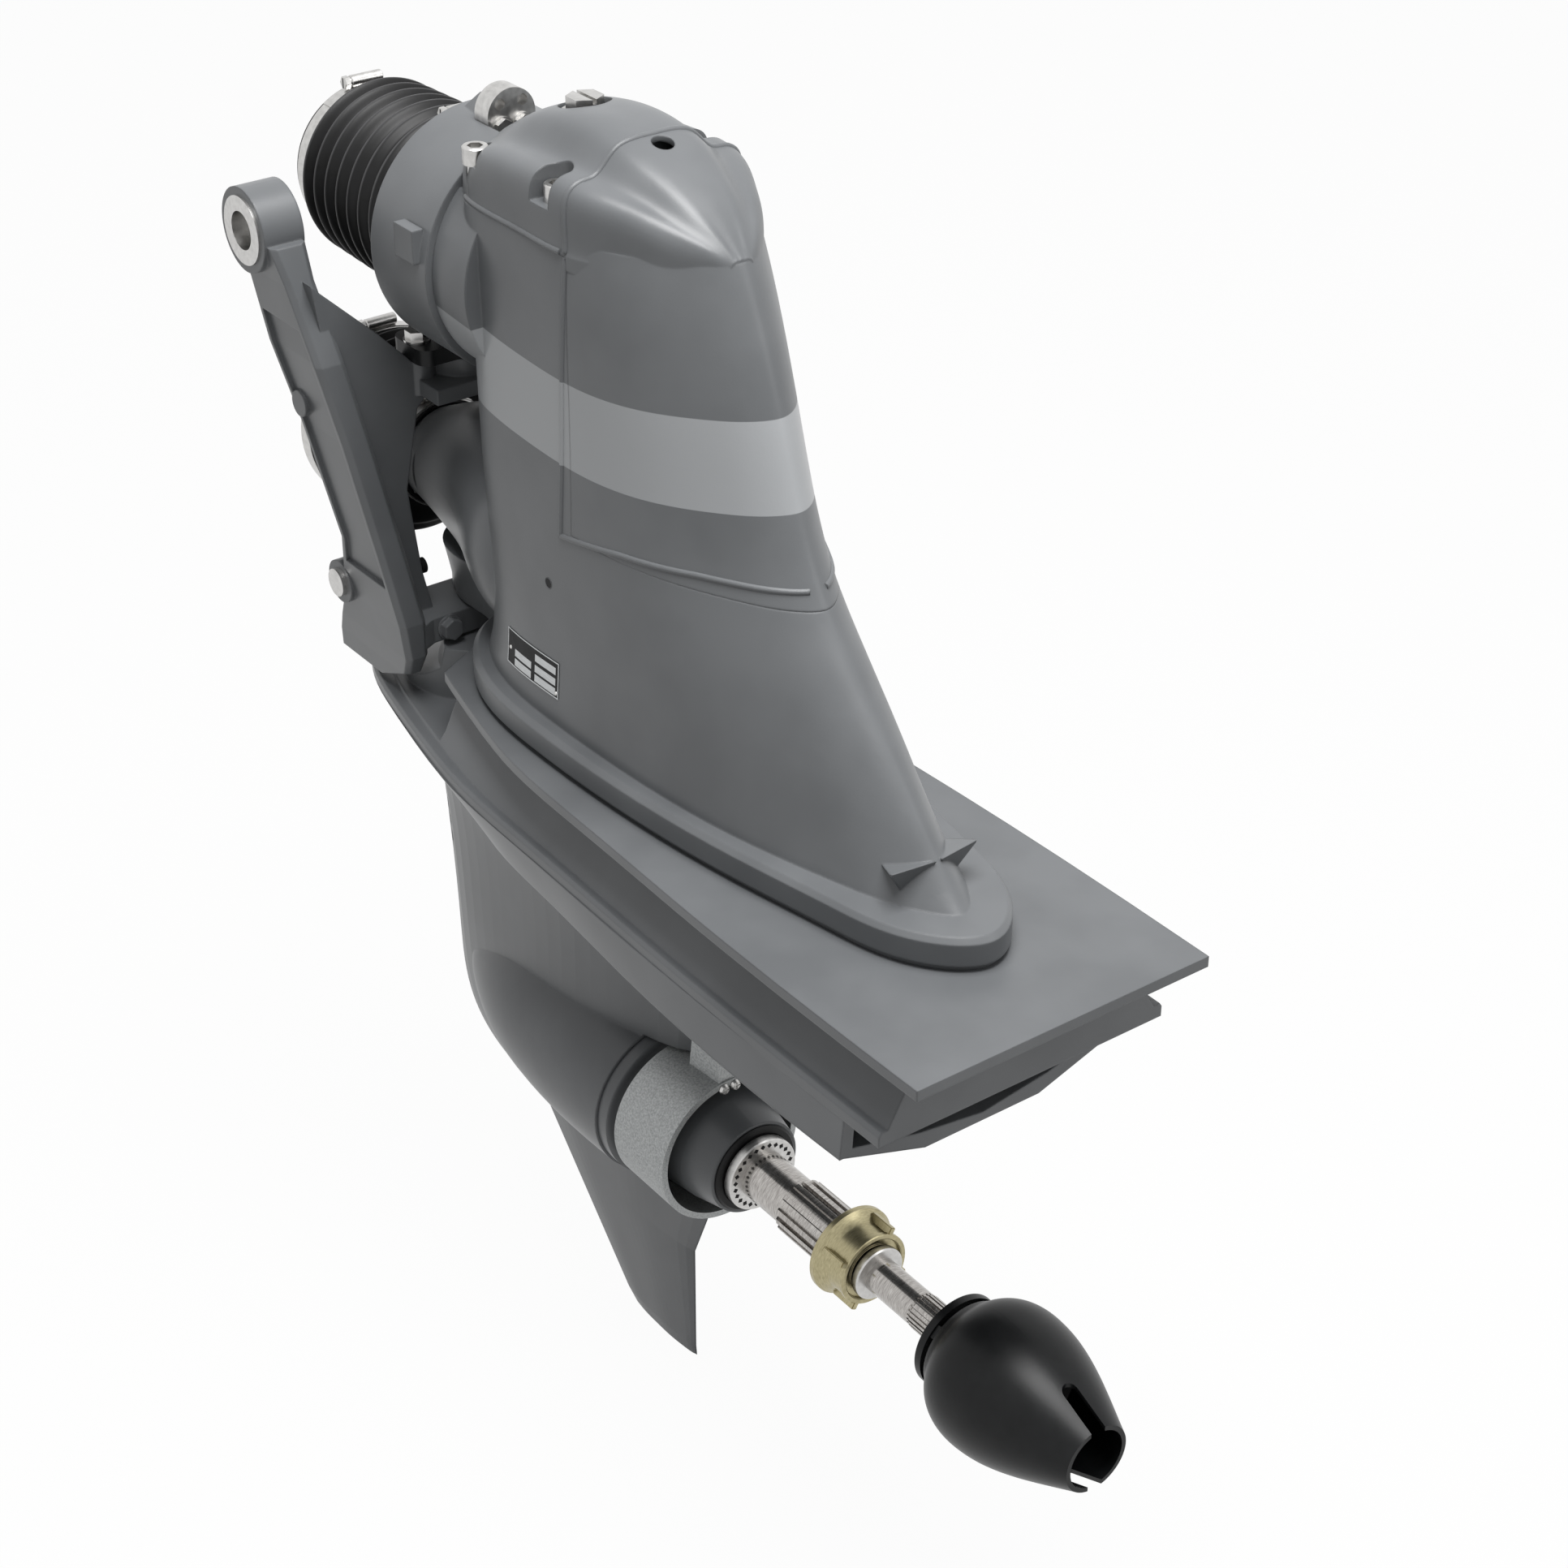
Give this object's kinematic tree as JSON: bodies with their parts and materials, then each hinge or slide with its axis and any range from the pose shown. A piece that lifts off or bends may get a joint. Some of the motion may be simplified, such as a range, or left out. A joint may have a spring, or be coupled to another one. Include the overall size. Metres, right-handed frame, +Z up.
{
  "type": "sterndrive",
  "caption": "Sterndrive leg with a steering fork, gearcase, exhaust passage, lower gear housing with skeg, and coaxial contra-rotating propeller shafts with a tail cone.",
  "frame": {"origin": "where the tilt axis of the fork's eyes crosses the centre plane, on the input shaft's axis", "axes": "+X forward to the transom, +Y to port, +Z up"},
  "size_m": [0.915, 0.288, 1.0115],
  "materials": {
    "grey_paint": "satin",
    "black_paint": "satin",
    "anode": "rough",
    "bronze": "satin",
    "machined_steel": "machined",
    "hardened_steel": "ground",
    "stainless": "satin",
    "rubber": "matt",
    "black_plastic": "satin"
  },
  "bodies": {
    "fork": {"suspension_fork": "grey_paint", "tilt_bushes": "bronze", "trim_pins": "machined_steel", "upper_pivot_flange": "black_paint", "upper_pivot_bolts": "stainless", "upper_pivot_bush": "bronze", "lower_pivot_bush": "bronze", "clamp_bolt": "stainless", "stop_buffers": "rubber", "ujoint_bellows": "rubber", "bellows_clamp_front": "stainless", "exhaust_bellows": "rubber", "exhaust_clamp_front": "stainless"},
    "leg": {"leg_casing": "grey_paint", "input_housing": "grey_paint", "top_cover": "grey_paint", "rear_cowl": "grey_paint", "cover_screws": "stainless", "filler_plug": "stainless", "hydraulic_block": "grey_paint", "hydraulic_plugs": "stainless", "bellows_clamp_aft": "stainless", "exhaust_clamp_aft": "stainless", "upper_pivot_pin": "machined_steel", "lower_pivot_pin": "machined_steel", "lower_gear_housing": "grey_paint", "bearing_carrier": "grey_paint", "anode_ring": "anode", "anode_screws": "stainless", "prop_seal": "rubber", "input_bearing": "hardened_steel", "input_seal": "rubber", "upper_gear_bearings": "hardened_steel", "vertical_shaft_bearing": "hardened_steel", "lower_pinion_bearing": "hardened_steel", "inner_gear_bearing": "hardened_steel", "outer_gear_bearing": "hardened_steel", "outer_shaft_bearing": "hardened_steel"},
    "input_line": {"input_shaft": "machined_steel", "front_cross": "machined_steel", "centre_yoke": "machined_steel", "aft_cross": "machined_steel"},
    "drive_line": {"drive_yoke": "machined_steel", "input_pinion": "hardened_steel"},
    "top_gear": {"upper_bevel_gear": "hardened_steel"},
    "bottom_gear": {"lower_bevel_gear": "hardened_steel"},
    "vertical_line": {"vertical_shaft_upper": "machined_steel", "shaft_coupling": "machined_steel", "vertical_shaft_lower": "machined_steel", "lower_pinion": "hardened_steel"},
    "clutch": {"cone_clutch": "machined_steel"},
    "inner_line": {"inner_prop_shaft": "machined_steel", "inner_shaft_gear": "hardened_steel", "inner_collar": "machined_steel", "prop_cone": "black_plastic"},
    "outer_line": {"outer_prop_shaft": "machined_steel", "outer_shaft_gear": "hardened_steel", "thrust_collar": "machined_steel", "ring_nut": "bronze", "inner_seal": "rubber"}
  },
  "joints": [
    {"name": "steering", "type": "hinge", "parent": "fork", "child": "leg", "pos_m": [-0.05, 0, 0], "axis": [0, 0, 1], "range_deg": [-28, 28], "deforming": ["ujoint_bellows", "exhaust_bellows"]},
    {"name": "input_spin", "type": "hinge", "parent": "fork", "child": "input_line", "pos_m": [0, 0, 0], "axis": [1, 0, 0], "continuous": true},
    {"name": "drive_spin", "type": "hinge", "parent": "leg", "child": "drive_line", "pos_m": [-0.1, 0, 0], "axis": [1, 0, 0], "continuous": true},
    {"name": "top_gear_spin", "type": "hinge", "parent": "leg", "child": "top_gear", "pos_m": [-0.225, 0, 0.03], "axis": [0, 0, 1], "continuous": true},
    {"name": "bottom_gear_spin", "type": "hinge", "parent": "leg", "child": "bottom_gear", "pos_m": [-0.225, 0, -0.03], "axis": [0, 0, 1], "continuous": true},
    {"name": "inner_prop_spin", "type": "hinge", "parent": "leg", "child": "inner_line", "pos_m": [-0.4, 0, -0.64], "axis": [1, 0, 0], "continuous": true},
    {"name": "outer_prop_spin", "type": "hinge", "parent": "leg", "child": "outer_line", "pos_m": [-0.4, 0, -0.64], "axis": [1, 0, 0], "continuous": true},
    {"name": "vertical_spin", "type": "hinge", "parent": "leg", "child": "vertical_line", "pos_m": [-0.225, 0, -0.3], "axis": [0, 0, 1], "continuous": true},
    {"name": "clutch_shift", "type": "slide", "parent": "vertical_line", "child": "clutch", "axis": [0, 0, 1], "range_m": [-0.0015, 0.0015]}
  ],
  "couplings": [
    {"joint": "drive_spin", "follows": "input_spin", "ratio": 1},
    {"joint": "top_gear_spin", "follows": "input_spin", "ratio": -0.75},
    {"joint": "bottom_gear_spin", "follows": "input_spin", "ratio": 0.75},
    {"joint": "outer_prop_spin", "follows": "inner_prop_spin", "ratio": -1},
    {"joint": "vertical_spin", "follows": "inner_prop_spin", "ratio": -1.5385}
  ]
}
